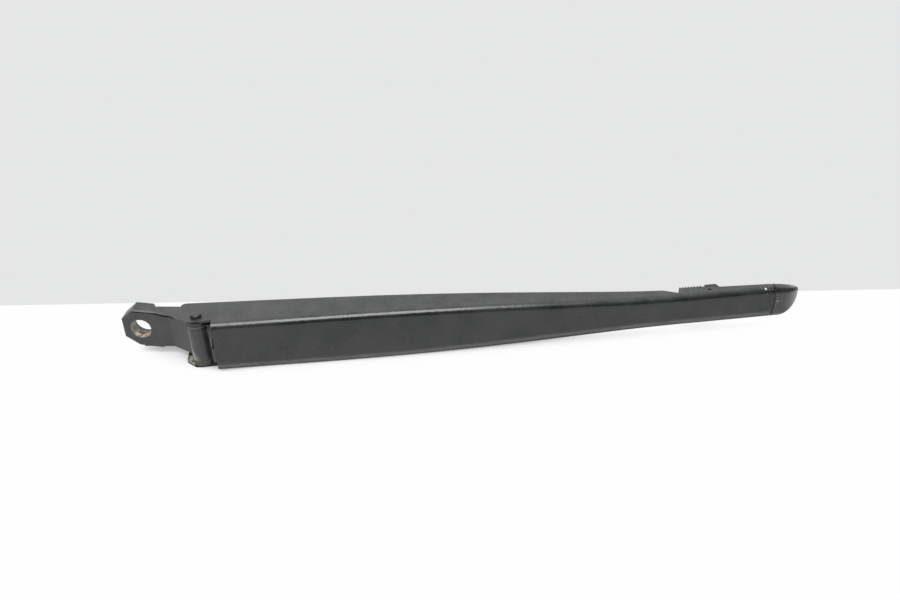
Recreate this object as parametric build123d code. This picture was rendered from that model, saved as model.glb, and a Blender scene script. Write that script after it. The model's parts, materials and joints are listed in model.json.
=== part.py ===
from build123d import *
import math
import os

# A rear window wiper arm without its blade and nut cover, lying on its lower flange.
# Millimetres. The origin is the middle of the spindle bore's parallel wall. +X runs along the head
# towards the tip, +Y points in towards the glass and +Z is up.

# Spindle eye of the mounting head, with heights from the bore axis
bore_diameter = 9.8
bore_wall_length = 4.0
bore_chamfer = 0.5
taper_mouth_diameter = 11.4
eye_thickness = 8.4
eye_end = 9.0
eye_top = 10.8
eye_top_fall = 0.096
eye_top_corner = (6.2, 5.2)
eye_foot = 11.2
eye_foot_corner = (6.6, 5.2)
eye_foot_rise = 1.4
front_shoulder = 7.6
front_shoulder_run = 5.8
back_shoulder = 5.7
back_shoulder_run = 0.5
foot_shoulder = 8.6
foot_shoulder_run = 2.4
head_edge = 0.4

# Neck and hinge barrel of the mounting head
neck_step = 1.6
neck_drop = 1.2
crease_reach = 15.5
crease_radius = 4.0
neck_back_reach = 22.0
neck_aim = 1.9
hinge_reach = 32.6
hinge_rise = 7.8
barrel_diameter = 10.2
barrel_height = 20.0
hinge_drop = 0.9

# Travel of the arm about the hinge pin
rest_droop = 9.1
lift_angle = 75.0

# Folded channel, measured from the hinge axis along the arm and inwards from the chord of its web
channel_wall = 1.2
channel_length = 286.5
channel_width = 26.8
blade_width = 17.2
channel_depth = 22.4
blade_depth = 7.6
seat_depth = 7.6
end_depth = 5.4
free_edge_radius = 150.0
taper_start = 112.0
taper_run_out = 8.5
taper_start_sweep = 50.0
taper_end_sweep = 20.0
hinge_depth = 9.7
bend_radius = 3.6
web_start = 7.8
web_bow = 1.8
ear_reach = 8.8
ear_front = 5.2
ear_chamfer = 5.0
ear_corner_radius = 2.5

# Slotted lip at the web's hinge end
lip_length = 3.2
lip_angle = 62.0
lip_bend_radius = 1.6
lip_relief = 0.2
lip_bottom = -7.8
lip_slot_height = 6.0
lip_slot_middle = 2.9
lip_slot_width = 1.3

# Notch in both flanges beside the blade clip
notch_clear = 0.8
notch_length = 9.3
notch_floor = 4.0
notch_flat = 2.2
notch_radius = 1.5

# Hinge pin and its two flanged bushes
pin_diameter = 4.2
pin_head_diameter = 5.5
pin_head_height = 1.7
pin_head_edge = 0.5
bush_wall = 1.0
bush_sleeve = 6.5
bush_flange_diameter = 10.8

# Heels on the barrel that stop the web at rest
heel_reach = 12.5
heel_width = 3.2
heel_clear = 4.6
heel_rise = 3.5
heel_gap = 0.1

# Spring pin across the head's fork, seen from the hinge axis with the arm at rest
spring_pin_diameter = 3.0
spring_pin_radius = 9.2
spring_pin_angle = 47.0
fork_boss_diameter = 7.0
fork_slot = 2.4
fork_swing = 5.3

# Flat hook between the spring pin and the spring
hook_thickness = 1.6
hook_shank_width = 4.2
hook_rim = 1.5
hook_throat = 2.3
hook_play = 0.25
hook_shank_length = 12.0

# Tension spring along its own axis from the spring pin
wire_diameter = 2.0
coil_diameter = 8.6
coil_start = 13.5
coil_pitch = 5.5
coil_turns = 11
grip_turns = 2
grip_play = 0.55
grip_overhang = 0.2

# Anchor strip inside the web
anchor_thickness = 1.6
anchor_base_length = 15.0
anchor_riser_run = 5.0
anchor_bend_radius = 2.4
anchor_hole_diameter = 4.0

# Blade pin, set back from the channel's end, and the clip that turns on it
blade_pin_setback = 32.5
blade_pin_depth = 4.6
blade_pin_diameter = 3.0
blade_pin_dimple = 1.7
dimple_depth = 0.4
clip_clearance = 0.25
clip_boss_diameter = 6.0
clip_boss_chamfer = 0.8
clip_boss_back = 11.9
clip_boss_start = 0.1
clip_boss_end = 6.0
clip_boss_slope = 0.8
clip_tab_length = 13.4
clip_tab_back = 10.3
clip_tab_thickness = 2.8
clip_tab_taper = 0.7
clip_nose_length = 7.2
clip_nose_back = 7.6
rib_count = 8
rib_pitch = 1.5
rib_width = 0.8
rib_height = 0.8

# Tip cap plugged into the channel's open end
# Each station is its reach beyond the channel, its drop below the channel's top, its rise above the
# channel's underside, its front and its corner radius
cap_seam = 0.3
cap_stations = [
    (cap_seam, 0.0, 0.0, 0.0, bend_radius),
    (4.0, 0.4, 0.1, 0.1, 3.4),
    (8.0, 1.0, 1.1, 0.7, 3.0),
    (11.5, 1.8, 4.6, 2.0, 2.1),
    (13.8, 3.0, 9.7, 4.0, 0.8),
]
cap_back = 5.8
cap_back_edge = 0.6
plug_length = 9.5
plug_wall = 1.4
plug_depth = 4.6

# Clearances
running_clearance = 0.05
press_clearance = 0.02
seat_clearance = 0.05
side_clearance = 0.1
plug_clearance = 0.12
past = 5.0

# Places worked out from the sizes above
eye_front = -(bore_chamfer + bore_wall_length / 2)
eye_back = eye_front + eye_thickness
hinge_x = hinge_reach
hinge_y = eye_front - hinge_rise
hinge = Pos(hinge_x, hinge_y, -hinge_drop)
arm_place = hinge * Rot(0, 0, rest_droop) * Pos(0, -hinge_depth, 0)
flange_inside = channel_width / 2 - channel_wall
blade_pin_reach = channel_length - blade_pin_setback
lip_top = channel_width / 2 - bend_radius - lip_relief
notch_end = blade_pin_reach - clip_tab_length - notch_clear
notch_start = notch_end - notch_length
taper_end = notch_start - taper_run_out
clip_width = blade_width - (channel_wall + clip_clearance) * 2
neck_height = barrel_height - neck_step
neck_top = neck_height / 2 - neck_drop
bow_radius = (channel_length**2 / 4 + web_bow**2) / (2 * web_bow)
spring_tilt = spring_pin_angle + lift_angle / 2 - 90
spring_pin_x = spring_pin_radius * math.cos(math.radians(spring_pin_angle))
spring_pin_y = hinge_depth + spring_pin_radius * math.sin(math.radians(spring_pin_angle))
spring_line = Pos(spring_pin_x, spring_pin_y, 0) * Rot(0, 0, spring_tilt)
coil_radius = coil_diameter / 2
wire_radius = wire_diameter / 2


def web_line(x, inset):
    """Height of the bowed web at x, drawn in from its outer face by inset."""
    from_middle = x - channel_length / 2
    return bow_radius - web_bow - math.sqrt((bow_radius - inset) ** 2 - from_middle**2)


def swept_outline(points, sweeps):
    """An open outline whose inner corners are long arcs, each starting its sweep before the corner."""
    radii = []
    for before, corner, after, sweep_length in zip(points, points[1:], points[2:], sweeps):
        incoming = Vector(*corner) - Vector(*before)
        outgoing = Vector(*after) - Vector(*corner)
        turn = math.radians(incoming.get_angle(outgoing))
        radii.append(sweep_length / math.tan(turn / 2))
    return FilletPolyline(*points, radius=radii)


def channel_envelope(inset, bend):
    """The channel's filled form, drawn in by inset on the web and both flanges, longer than the channel."""
    first = -ear_reach - past
    last = channel_length + past
    upper = [
        (first, channel_width / 2 - inset),
        (taper_start, channel_width / 2 - inset),
        (taper_end, blade_width / 2 - inset),
        (last, blade_width / 2 - inset),
    ]
    lower = [(x, -z) for x, z in upper]
    sweeps = [taper_start_sweep, taper_end_sweep]
    sides = Curve() + [
        swept_outline(upper, sweeps),
        swept_outline(lower, sweeps),
        Line(upper[0], lower[0]),
        Line(upper[-1], lower[-1]),
    ]
    deep = channel_depth + past
    from_front = Plane.XZ * make_face(sides)
    prism = extrude(from_front, deep * 2, both=True)
    middle = channel_length / 2
    start = (first - past, web_line(first - past, inset))
    end = (last + past, web_line(last + past, inset))
    plan = Curve() + [
        ThreePointArc(start, (middle, web_line(middle, inset)), end),
        Polyline(end, (end[0], deep), (start[0], deep), start),
    ]
    block = prism & extrude(make_face(plan), channel_width, both=True)
    web = block.faces().sort_by(Axis.Y)[0]
    long_edges = [e for e in web.edges() if abs(e.center().Z) > inset and first < e.center().X < last]
    long_edges = [e for e in long_edges if e.bounding_box().size.X > past]
    return fillet(long_edges, bend)


def plan_of_channel():
    """Outline of the blank from above: ears, free edge with its notch, and square end."""
    proud = web_bow + past
    slope = (channel_depth - blade_depth) / taper_end
    blade_slope = (seat_depth - end_depth) / (channel_length - notch_end)
    corners = [
        (web_start, -proud, 0),
        (channel_length, -proud, 0),
        (channel_length, end_depth, 0),
        (notch_end, seat_depth, 0),
        (notch_end, notch_floor, 0),
        (notch_end - notch_flat, notch_floor, notch_radius),
        (notch_start, blade_depth - blade_slope * (notch_start - taper_end), notch_radius),
        (taper_end, blade_depth, free_edge_radius),
        (-ear_reach, channel_depth + slope * ear_reach, ear_corner_radius),
        (-ear_reach, ear_front + ear_chamfer, ear_corner_radius),
        (ear_chamfer - ear_reach, ear_front, ear_corner_radius),
        (web_start, ear_front, 0),
    ]
    points = [(x, y) for x, y, radius in corners]
    return make_face(FilletPolyline(*points, radius=[radius for x, y, radius in corners], close=True))


def web_lip():
    """The web's bent-in end with its slot."""
    inner = web_start + channel_wall
    bend = web_start - channel_wall / 2
    middle = channel_wall / 2
    lean = math.radians(lip_angle)
    root = (inner, web_line(inner, middle))
    corner = (bend, web_line(bend, middle))
    tip = (corner[0] - lip_length * math.cos(lean), corner[1] + lip_length * math.sin(lean))
    strip = trace(FilletPolyline(root, corner, tip, radius=lip_bend_radius), channel_wall)
    lip = Pos(0, 0, lip_bottom) * extrude(strip, lip_top - lip_bottom)
    slot = Box(lip_slot_width, past * 2, lip_slot_height)
    return lip - Pos(bend, 0, lip_slot_middle) * slot


def arm_channel():
    """One folded steel sheet: web, two flanges with ears, lip and notches."""
    shell = channel_envelope(0, bend_radius) - channel_envelope(channel_wall, bend_radius - channel_wall)
    shell = shell & extrude(plan_of_channel(), channel_width, both=True)
    shell = shell + web_lip()
    through = channel_width + past
    shell -= Pos(0, hinge_depth, 0) * Cylinder(pin_diameter / 2 + press_clearance, through)
    blade_hole = Cylinder(blade_pin_diameter / 2 + press_clearance, through)
    shell -= Pos(blade_pin_reach, blade_pin_depth, 0) * blade_hole
    return arm_place * shell


def spindle_bore():
    """Chamfered mouth, parallel wall and the taper towards the glass."""
    radius = bore_diameter / 2
    wall_end = bore_wall_length / 2
    mouth = taper_mouth_diameter / 2
    section = Polyline(
        (0, eye_front - past),
        (radius + bore_chamfer + past, eye_front - past),
        (radius, -wall_end),
        (radius, wall_end),
        (mouth, eye_back),
        (mouth, eye_back + past),
        (0, eye_back + past),
        (0, eye_front - past),
    )
    return revolve(make_face(section), Axis.Y)


def eye_outline(depth, shoulder, run):
    """Faceted outline of the eye at one depth, with the place and length of its upper shoulder."""
    neck_bottom = neck_top - neck_height
    top_start = eye_top_corner[0] - eye_end
    foot_start = eye_foot_corner[0] - eye_end
    foot_end = foot_shoulder + foot_shoulder_run
    outline = Polyline(
        (-eye_end, eye_top - eye_top_corner[1]),
        (top_start, eye_top),
        (shoulder, eye_top - eye_top_fall * (shoulder - top_start)),
        (shoulder + run, neck_top),
        (foot_end, neck_bottom),
        (foot_shoulder, -eye_foot),
        (foot_start, eye_foot_rise - eye_foot),
        (-eye_end, eye_foot_rise + eye_foot_corner[1] - eye_foot),
        close=True,
    )
    return Plane(origin=(0, depth, 0), x_dir=(1, 0, 0), z_dir=(0, -1, 0)) * make_face(outline)


def head_eye():
    """Thick faceted eye round the spindle bore. Its shoulder is long in front and steep behind."""
    front = eye_outline(eye_front, front_shoulder, front_shoulder_run)
    back = eye_outline(eye_back, back_shoulder, back_shoulder_run)
    eye = loft([back, front], ruled=True)
    rims = eye.edges().filter_by(lambda e: abs(e.tangent_at(0.5).Y) < 0.5)
    return chamfer(rims.filter_by(lambda e: e.center().X < back_shoulder), head_edge)


def fork_place():
    """Spring pin's place in the head's frame."""
    return arm_place * Pos(spring_pin_x, spring_pin_y, 0)


def head_neck():
    """Joggled neck that runs from the eye past the barrel to the fork for the spring pin."""
    fork = fork_place().position
    outline = FilletPolyline(
        (0, eye_front),
        (crease_reach, eye_front),
        (hinge_x, hinge_y - neck_aim),
        (fork.X, fork.Y),
        (neck_back_reach, eye_back),
        (0, eye_back),
        radius=[0, crease_radius, 0, 0, crease_radius, 0],
        close=True,
    )
    neck = extrude(make_face(outline), neck_height)
    boss = Pos(fork.X, fork.Y, neck_height / 2) * Cylinder(fork_boss_diameter / 2, neck_height)
    return Pos(0, 0, neck_top - neck_height) * (neck + boss)


def heel_pair():
    """Two heels that meet the inside of the web at rest, clear of the spring between them."""
    left = heel_reach - heel_width
    floor = web_line(left, channel_wall) + heel_gap
    outline = Polyline(
        (0, hinge_depth),
        (left, heel_clear),
        (left, floor),
        (heel_reach, floor),
        (heel_reach, heel_clear),
        (0, hinge_depth + heel_rise),
        (0, hinge_depth),
    )
    spring_room = coil_diameter + wire_diameter + grip_overhang * 2 + side_clearance * 2
    heels = extrude(make_face(outline), barrel_height / 2, both=True)
    return arm_place * (heels - extrude(make_face(outline), spring_room / 2, both=True))


def mounting_head():
    """Cast head: eye, neck, hinge barrel, heels and fork."""
    head = head_eye() + head_neck() + hinge * Cylinder(barrel_diameter / 2, barrel_height) + heel_pair()
    head -= spindle_bore()
    bush_radius = pin_diameter / 2 + running_clearance + bush_wall
    head -= hinge * Cylinder(bush_radius + press_clearance, barrel_height * 2)
    fork = fork_place()
    head -= fork * Cylinder(spring_pin_diameter / 2 + press_clearance, barrel_height * 2)
    return head - fork * Cylinder(fork_swing, fork_slot)


def flanged_bush():
    """Bush with its sleeve inside the barrel and its flange against the upper ear."""
    inner = pin_diameter / 2 + running_clearance
    seat = barrel_height / 2
    top = flange_inside - side_clearance
    section = Polyline(
        (inner, seat - bush_sleeve),
        (inner + bush_wall, seat - bush_sleeve),
        (inner + bush_wall, seat),
        (bush_flange_diameter / 2, seat),
        (bush_flange_diameter / 2, top),
        (inner, top),
        (inner, seat - bush_sleeve),
    )
    return revolve(Plane.XZ * make_face(section), Axis.Z)


def hinge_bush_upper():
    return hinge * flanged_bush()


def hinge_bush_lower():
    return hinge * Rot(180, 0, 0) * flanged_bush()


def hinge_pin():
    """Rivet with a low head on the upper ear and a flush lower end."""
    seat = channel_width / 2
    length = channel_width - seat_clearance
    shank = Pos(0, 0, seat - length / 2) * Cylinder(pin_diameter / 2, length)
    head = Pos(0, 0, seat + pin_head_height / 2) * Cylinder(pin_head_diameter / 2, pin_head_height)
    crown = head.edges().sort_by(Axis.Z)[-1]
    return hinge * (shank + chamfer(crown, pin_head_edge))


def spring_pin():
    """Plain pin across the fork."""
    return fork_place() * Pos(0, 0, hinge_drop - neck_drop) * Cylinder(spring_pin_diameter / 2, neck_height)


def grip_notch(along, across, thickness):
    """Cutter that leaves room for one crossing of the wire."""
    length = wire_diameter + grip_play * 2
    floor = coil_radius - wire_radius - grip_play
    width = wire_diameter + grip_play + grip_overhang + past
    return Pos(along, across * (floor + width / 2), 0) * Box(length, width, thickness * 2)


def spring_hook():
    """Flat hook: open throat round the spring pin, shank and a tail notched for the coil."""
    pin_room = spring_pin_diameter / 2 + hook_play
    outer = pin_room + hook_rim
    tail_half = coil_radius + wire_radius + grip_overhang
    tail_end = coil_start + coil_pitch * grip_turns - coil_pitch / 4
    eye = Circle(outer) + Pos(0, hook_throat / 2) * Rectangle(outer * 2, hook_throat)
    eye += Pos(hook_shank_length / 2, 0) * Rectangle(hook_shank_length, hook_shank_width)
    tail_length = tail_end - hook_shank_length
    eye += Pos(hook_shank_length + tail_length / 2, 0) * Rectangle(tail_length, tail_half * 2)
    throat = Circle(pin_room) + Pos(0, past) * Rectangle(pin_room * 2, past * 2)
    plate = extrude(eye - throat, hook_thickness / 2, both=True)
    for half_turn in range(grip_turns * 2):
        side = 1 if half_turn % 2 == 0 else -1
        plate -= grip_notch(coil_start + half_turn * coil_pitch / 2, side, hook_thickness)
    return arm_place * spring_line * plate


def tension_spring():
    """Open helix of six-sided wire, which stands for the round one."""
    length = coil_pitch * coil_turns
    path = Helix(pitch=coil_pitch, height=length, radius=coil_radius)
    section = Plane(origin=path @ 0, z_dir=path % 0) * RegularPolygon(wire_radius, 6)
    coil = sweep(section, path, is_frenet=True)
    along = Plane(origin=(coil_start, 0, 0), x_dir=(0, 1, 0), z_dir=(1, 0, 0))
    return arm_place * spring_line * along.location * coil


def spring_anchor():
    """Strip welded to the web, stepped up to the spring's axis and notched for the coil."""
    coil_end = coil_start + coil_pitch * coil_turns
    tongue_tip = coil_end - coil_pitch * grip_turns + coil_pitch / 4
    tongue_root = coil_end + wire_diameter + anchor_bend_radius
    lift = channel_wall + seat_clearance + anchor_thickness / 2
    tip = (spring_line * Pos(tongue_tip, 0, 0)).position
    root = (spring_line * Pos(tongue_root, 0, 0)).position
    heel_x = root.X + anchor_riser_run
    base_end = heel_x + anchor_base_length
    path = FilletPolyline(
        (tip.X, tip.Y),
        (root.X, root.Y),
        (heel_x, web_line(heel_x, lift)),
        (base_end, web_line(base_end, lift)),
        radius=anchor_bend_radius,
    )
    half = coil_radius + wire_radius + grip_overhang
    strip = extrude(trace(path, anchor_thickness), half, both=True)
    turned = Rot(90, 0, 0)
    for half_turn in range(grip_turns * 2):
        crossing = coil_end - coil_pitch / 4 - half_turn * coil_pitch / 2
        steps = (coil_turns * 4 - 1 - half_turn * 2) % 4
        side = 1 if steps == 1 else -1
        strip -= spring_line * turned * grip_notch(crossing, side, anchor_thickness)
    hole_x = (heel_x + anchor_bend_radius + base_end) / 2
    hole = Rot(90, 0, 0) * Cylinder(anchor_hole_diameter / 2, past)
    strip -= Pos(hole_x, web_line(hole_x, lift), 0) * hole
    return arm_place * strip


def blade_pin():
    """Cross pin with a small dimple in each end."""
    length = blade_width - seat_clearance * 2
    pin = Cylinder(blade_pin_diameter / 2, length)
    for side in (1, -1):
        pin -= Pos(0, 0, side * length / 2) * Cylinder(blade_pin_dimple / 2, dimple_depth * 2)
    return arm_place * Pos(blade_pin_reach, blade_pin_depth, 0) * pin


def blade_clip():
    """Moulded clip that turns on the blade pin, with a ribbed tab towards the hinge."""
    boss = clip_boss_diameter / 2
    barrel = Cylinder(boss, clip_width)
    barrel = chamfer(barrel.edges().filter_by(GeomType.CIRCLE), clip_boss_chamfer)
    back = clip_boss_back - blade_pin_depth
    tab_back = clip_tab_back - blade_pin_depth
    tab_front = tab_back - clip_tab_thickness
    nose_back = clip_nose_back - blade_pin_depth
    body = make_face(
        Polyline(
            (-boss, 0),
            (-boss, tab_front),
            (-clip_tab_length, tab_front + clip_tab_taper),
            (-clip_tab_length, tab_back),
            (clip_boss_start - clip_boss_slope, tab_back),
            (clip_boss_start, back),
            (clip_boss_end, back),
            (clip_nose_length, nose_back),
            (clip_nose_length, nose_back - clip_tab_thickness),
            (boss, 0),
            (-boss, 0),
        )
    )
    clip = barrel + extrude(body, clip_width / 2, both=True)
    for number in range(rib_count):
        place = -clip_tab_length + rib_width / 2 + number * rib_pitch
        clip += Pos(place, tab_back, 0) * Box(rib_width, rib_height * 2, clip_width)
    clip -= Cylinder(blade_pin_diameter / 2 + running_clearance, clip_width * 2)
    return arm_place * Pos(blade_pin_reach, blade_pin_depth, 0) * clip


def cap_section(reach, drop, rise, front, corner):
    """One cross-section of the cap, with rounded outer corners."""
    top = blade_width / 2 - drop
    underside = rise - blade_width / 2
    outline = FilletPolyline(
        (front, top),
        (front, underside),
        (cap_back, underside),
        (cap_back, top),
        radius=[corner, corner, cap_back_edge, cap_back_edge],
        close=True,
    )
    station = Plane(origin=(channel_length + reach, 0, 0), x_dir=(0, 1, 0), z_dir=(1, 0, 0))
    return station * make_face(outline)


def tip_cap():
    """Rounded end piece with a hollow plug that fills the channel's open end."""
    dome = loft([cap_section(*station) for station in cap_stations])
    gap = channel_wall + plug_clearance
    half = blade_width / 2 - gap
    front = web_line(channel_length, gap)
    middle = channel_length + cap_seam - plug_length / 2
    plug = Pos(middle, front + plug_depth / 2, 0) * Box(plug_length, plug_depth, half * 2)
    corners = plug.edges().filter_by(Axis.X).group_by(Axis.Y)[0]
    plug = fillet(corners, bend_radius - gap)
    hollow = Box(plug_length + past, plug_depth, (half - plug_wall) * 2)
    plug -= Pos(middle - past / 2, front + plug_wall + plug_depth / 2, 0) * hollow
    return arm_place * (dome + plug)


PIECES = {
    "mounting_head": mounting_head,
    "hinge_bush_upper": hinge_bush_upper,
    "hinge_bush_lower": hinge_bush_lower,
    "hinge_pin": hinge_pin,
    "arm_channel": arm_channel,
    "spring_pin": spring_pin,
    "spring_hook": spring_hook,
    "tension_spring": tension_spring,
    "spring_anchor": spring_anchor,
    "blade_pin": blade_pin,
    "blade_clip": blade_clip,
    "tip_cap": tip_cap,
}

os.makedirs("parts", exist_ok=True)
for name, make in PIECES.items():
    export_step(make(), f"parts/{name}.step")
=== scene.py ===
import json
import math

import bmesh
import bpy
from mathutils import Matrix, Vector


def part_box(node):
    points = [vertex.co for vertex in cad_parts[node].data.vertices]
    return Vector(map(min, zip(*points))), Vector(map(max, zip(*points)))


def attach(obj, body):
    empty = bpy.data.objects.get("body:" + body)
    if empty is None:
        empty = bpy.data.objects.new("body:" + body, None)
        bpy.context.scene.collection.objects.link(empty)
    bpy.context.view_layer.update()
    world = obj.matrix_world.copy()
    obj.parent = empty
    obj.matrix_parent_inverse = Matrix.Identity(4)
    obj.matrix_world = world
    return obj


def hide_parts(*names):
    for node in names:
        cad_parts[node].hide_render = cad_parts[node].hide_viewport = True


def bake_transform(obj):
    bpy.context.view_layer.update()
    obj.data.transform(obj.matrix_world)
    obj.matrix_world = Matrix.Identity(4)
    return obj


# A rear window wiper arm on a pale bench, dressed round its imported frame. Metres, in the part's own frame:
# the spindle bore is the origin, +X runs to the tip, +Y in towards the glass and +Z is up.
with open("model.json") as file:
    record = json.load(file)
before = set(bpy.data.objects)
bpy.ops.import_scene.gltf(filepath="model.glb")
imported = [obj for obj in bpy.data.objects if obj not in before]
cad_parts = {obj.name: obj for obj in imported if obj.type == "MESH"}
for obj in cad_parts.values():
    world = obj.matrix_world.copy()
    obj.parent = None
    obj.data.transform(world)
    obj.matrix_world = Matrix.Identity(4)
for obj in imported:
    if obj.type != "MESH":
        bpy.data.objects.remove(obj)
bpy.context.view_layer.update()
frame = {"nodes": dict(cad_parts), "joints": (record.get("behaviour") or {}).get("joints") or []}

MM = 0.001
JOINTS = {joint["name"]: joint for joint in frame["joints"]}

# Arm: its own line starts at the hinge, on the chord of the web's outer face
HINGE = Vector(JOINTS["arm_lift"]["pos_m"])
ARM_DROOP = math.radians(9.1)
HINGE_DEPTH = 9.7 * MM
ARM_ORIGIN = HINGE + Vector((math.sin(ARM_DROOP), -math.cos(ARM_DROOP), 0.0)) * HINGE_DEPTH
ARM_PLACE = Matrix.Translation(ARM_ORIGIN) @ Matrix.Rotation(ARM_DROOP, 4, "Z")
SEAM_REACH = 286.5 * MM
BENCH_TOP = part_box("arm_channel")[0].z

# Lower edge of the channel: where it rises, and how far it lies under the arm's line before and after
TAPER_START = 80.0 * MM
TAPER_END = 243.0 * MM
DROP_AT_HINGE = 13.4 * MM
DROP_AT_TIP = 8.6 * MM

# Mounting head: its upper front edge runs along the eye, down a shoulder and along the neck
BORE_RIM = 5.15 * MM
EYE_FRONT = -2.5 * MM
EYE_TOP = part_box("mounting_head")[1].z
EYE_TOP_START = -2.8 * MM
EYE_FALL = 0.096
SHOULDER_START = 7.6 * MM
SHOULDER_END = 13.4 * MM
NECK_TOP = 8.0 * MM
SHOULDER_TOP = EYE_TOP - EYE_FALL * (SHOULDER_START - EYE_TOP_START)
SHOULDER_FALL = (SHOULDER_TOP - NECK_TOP) / (SHOULDER_END - SHOULDER_START)
BARREL_RADIUS = 5.1 * MM
BARREL_HEIGHT = 20.0 * MM
BARREL_TOP = HINGE.z + BARREL_HEIGHT / 2.0

# Spring: its coils start this far from the spring pin, along the line that it pulls on
SPRING_LINE = -Vector(JOINTS["spring_pull"]["axis"]).normalized()
SPRING_PIN = sum(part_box("spring_pin"), Vector()) / 2.0
SPRING_PIN.z = HINGE.z
COIL_START = 13.5 * MM
COIL_PITCH = 5.5 * MM
COIL_TURNS = 11
COIL_RADIUS = 4.3 * MM
WIRE_RADIUS = 1.0 * MM
WIRE_SIDES = 16
STEPS_A_TURN = 32


# Steps that lay one node after another

def finish_named(name):
    """A new finish with its node tree and its shader."""
    finish = bpy.data.materials.new(name)
    finish.use_nodes = True
    tree = finish.node_tree
    return finish, tree, tree.nodes["Principled BSDF"]


def new_node(tree, kind, **settings):
    made = tree.nodes.new(kind)
    for key, value in settings.items():
        setattr(made, key, value)
    return made


def put(tree, value, socket):
    """Sets a socket to a number or colour, or links it to another socket."""
    if isinstance(value, bpy.types.NodeSocket):
        tree.links.new(value, socket)
    else:
        socket.default_value = value


def dress(tree, shader, colour, rough, relief, ior=1.5):
    """Gives a shader its colour, roughness, relief and gloss."""
    put(tree, colour, shader.inputs["Base Color"])
    put(tree, rough, shader.inputs["Roughness"])
    put(tree, relief, shader.inputs["Normal"])
    shader.inputs["IOR"].default_value = ior


def on_part(tree):
    """Coordinates in the part's frame."""
    return new_node(tree, "ShaderNodeTexCoord").outputs["Object"]


def on_arm(tree):
    """Coordinates along the arm: x from the hinge, y in from the web's chord, z up from its line."""
    turned = new_node(tree, "ShaderNodeMapping", vector_type="TEXTURE")
    turned.inputs["Location"].default_value = ARM_ORIGIN
    turned.inputs["Rotation"].default_value = (0.0, 0.0, ARM_DROOP)
    tree.links.new(on_part(tree), turned.inputs["Vector"])
    return turned.outputs["Vector"]


def stretched(tree, place, scale):
    longer = new_node(tree, "ShaderNodeMapping")
    longer.inputs["Scale"].default_value = scale
    tree.links.new(place, longer.inputs["Vector"])
    return longer.outputs["Vector"]


def split(tree, place):
    parts = new_node(tree, "ShaderNodeSeparateXYZ")
    tree.links.new(place, parts.inputs["Vector"])
    return parts.outputs["X"], parts.outputs["Y"], parts.outputs["Z"]


def grain(tree, place, scale, detail=3.0, rough=0.55, warp=0.0):
    """Noise of the given scale per metre."""
    noise = new_node(tree, "ShaderNodeTexNoise")
    tree.links.new(place, noise.inputs["Vector"])
    noise.inputs["Scale"].default_value = scale
    noise.inputs["Detail"].default_value = detail
    noise.inputs["Roughness"].default_value = rough
    noise.inputs["Distortion"].default_value = warp
    return noise.outputs["Fac"]


def ramp(tree, value, low, high, first=0.0, last=1.0):
    """Maps low to high smoothly on to first to last."""
    span = new_node(tree, "ShaderNodeMapRange", interpolation_type="SMOOTHSTEP")
    tree.links.new(value, span.inputs["Value"])
    span.inputs["From Min"].default_value = low
    span.inputs["From Max"].default_value = high
    span.inputs["To Min"].default_value = first
    span.inputs["To Max"].default_value = last
    return span.outputs["Result"]


def between(tree, value, rise, fall):
    """Share that comes in over one stretch of a value and goes out over a later one."""
    return product(tree, ramp(tree, value, rise[0], rise[1]), ramp(tree, value, fall[1], fall[0]))


def math_step(tree, operation, first, second):
    step = new_node(tree, "ShaderNodeMath", operation=operation)
    put(tree, first, step.inputs[0])
    put(tree, second, step.inputs[1])
    return step.outputs["Value"]


def product(tree, *shares):
    """All the shares multiplied together."""
    whole = shares[0]
    for share in shares[1:]:
        whole = math_step(tree, "MULTIPLY", whole, share)
    return whole


def falling(tree, value, start, top, slope):
    """Straight line that leaves the top at start and falls by the slope."""
    return math_step(tree, "SUBTRACT", top + slope * start, math_step(tree, "MULTIPLY", value, slope))


def blended(tree, share, first, second):
    """Mix of two colours."""
    mix = new_node(tree, "ShaderNodeMix", data_type="RGBA")
    put(tree, share, mix.inputs["Factor"])
    put(tree, first, mix.inputs["A"])
    put(tree, second, mix.inputs["B"])
    return mix.outputs["Result"]


def distance_to(tree, place, point):
    span = new_node(tree, "ShaderNodeVectorMath", operation="DISTANCE")
    tree.links.new(place, span.inputs[0])
    span.inputs[1].default_value = point
    return span.outputs["Value"]


def spot(tree, place, point, reach, core):
    """Share that is whole within core of a point, in millimetres, and gone at its reach."""
    return ramp(tree, distance_to(tree, place, Vector(point) * MM), reach * MM, core * MM)


def upward(tree):
    """How far the surface looks up, from -1 to 1, in the part's frame."""
    return split(tree, new_node(tree, "ShaderNodeTexCoord").outputs["Normal"])[2]


def facing_up(tree):
    """Share of the surface that looks at the sky."""
    return ramp(tree, upward(tree), 0.55, 0.95)


def bumped(tree, height, strength, depth, under=None):
    bump = new_node(tree, "ShaderNodeBump")
    tree.links.new(height, bump.inputs["Height"])
    bump.inputs["Strength"].default_value = strength
    bump.inputs["Distance"].default_value = depth
    if under is not None:
        tree.links.new(under, bump.inputs["Normal"])
    return bump.outputs["Normal"]


def rgb(red, green, blue):
    return (red, green, blue, 1.0)


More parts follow.
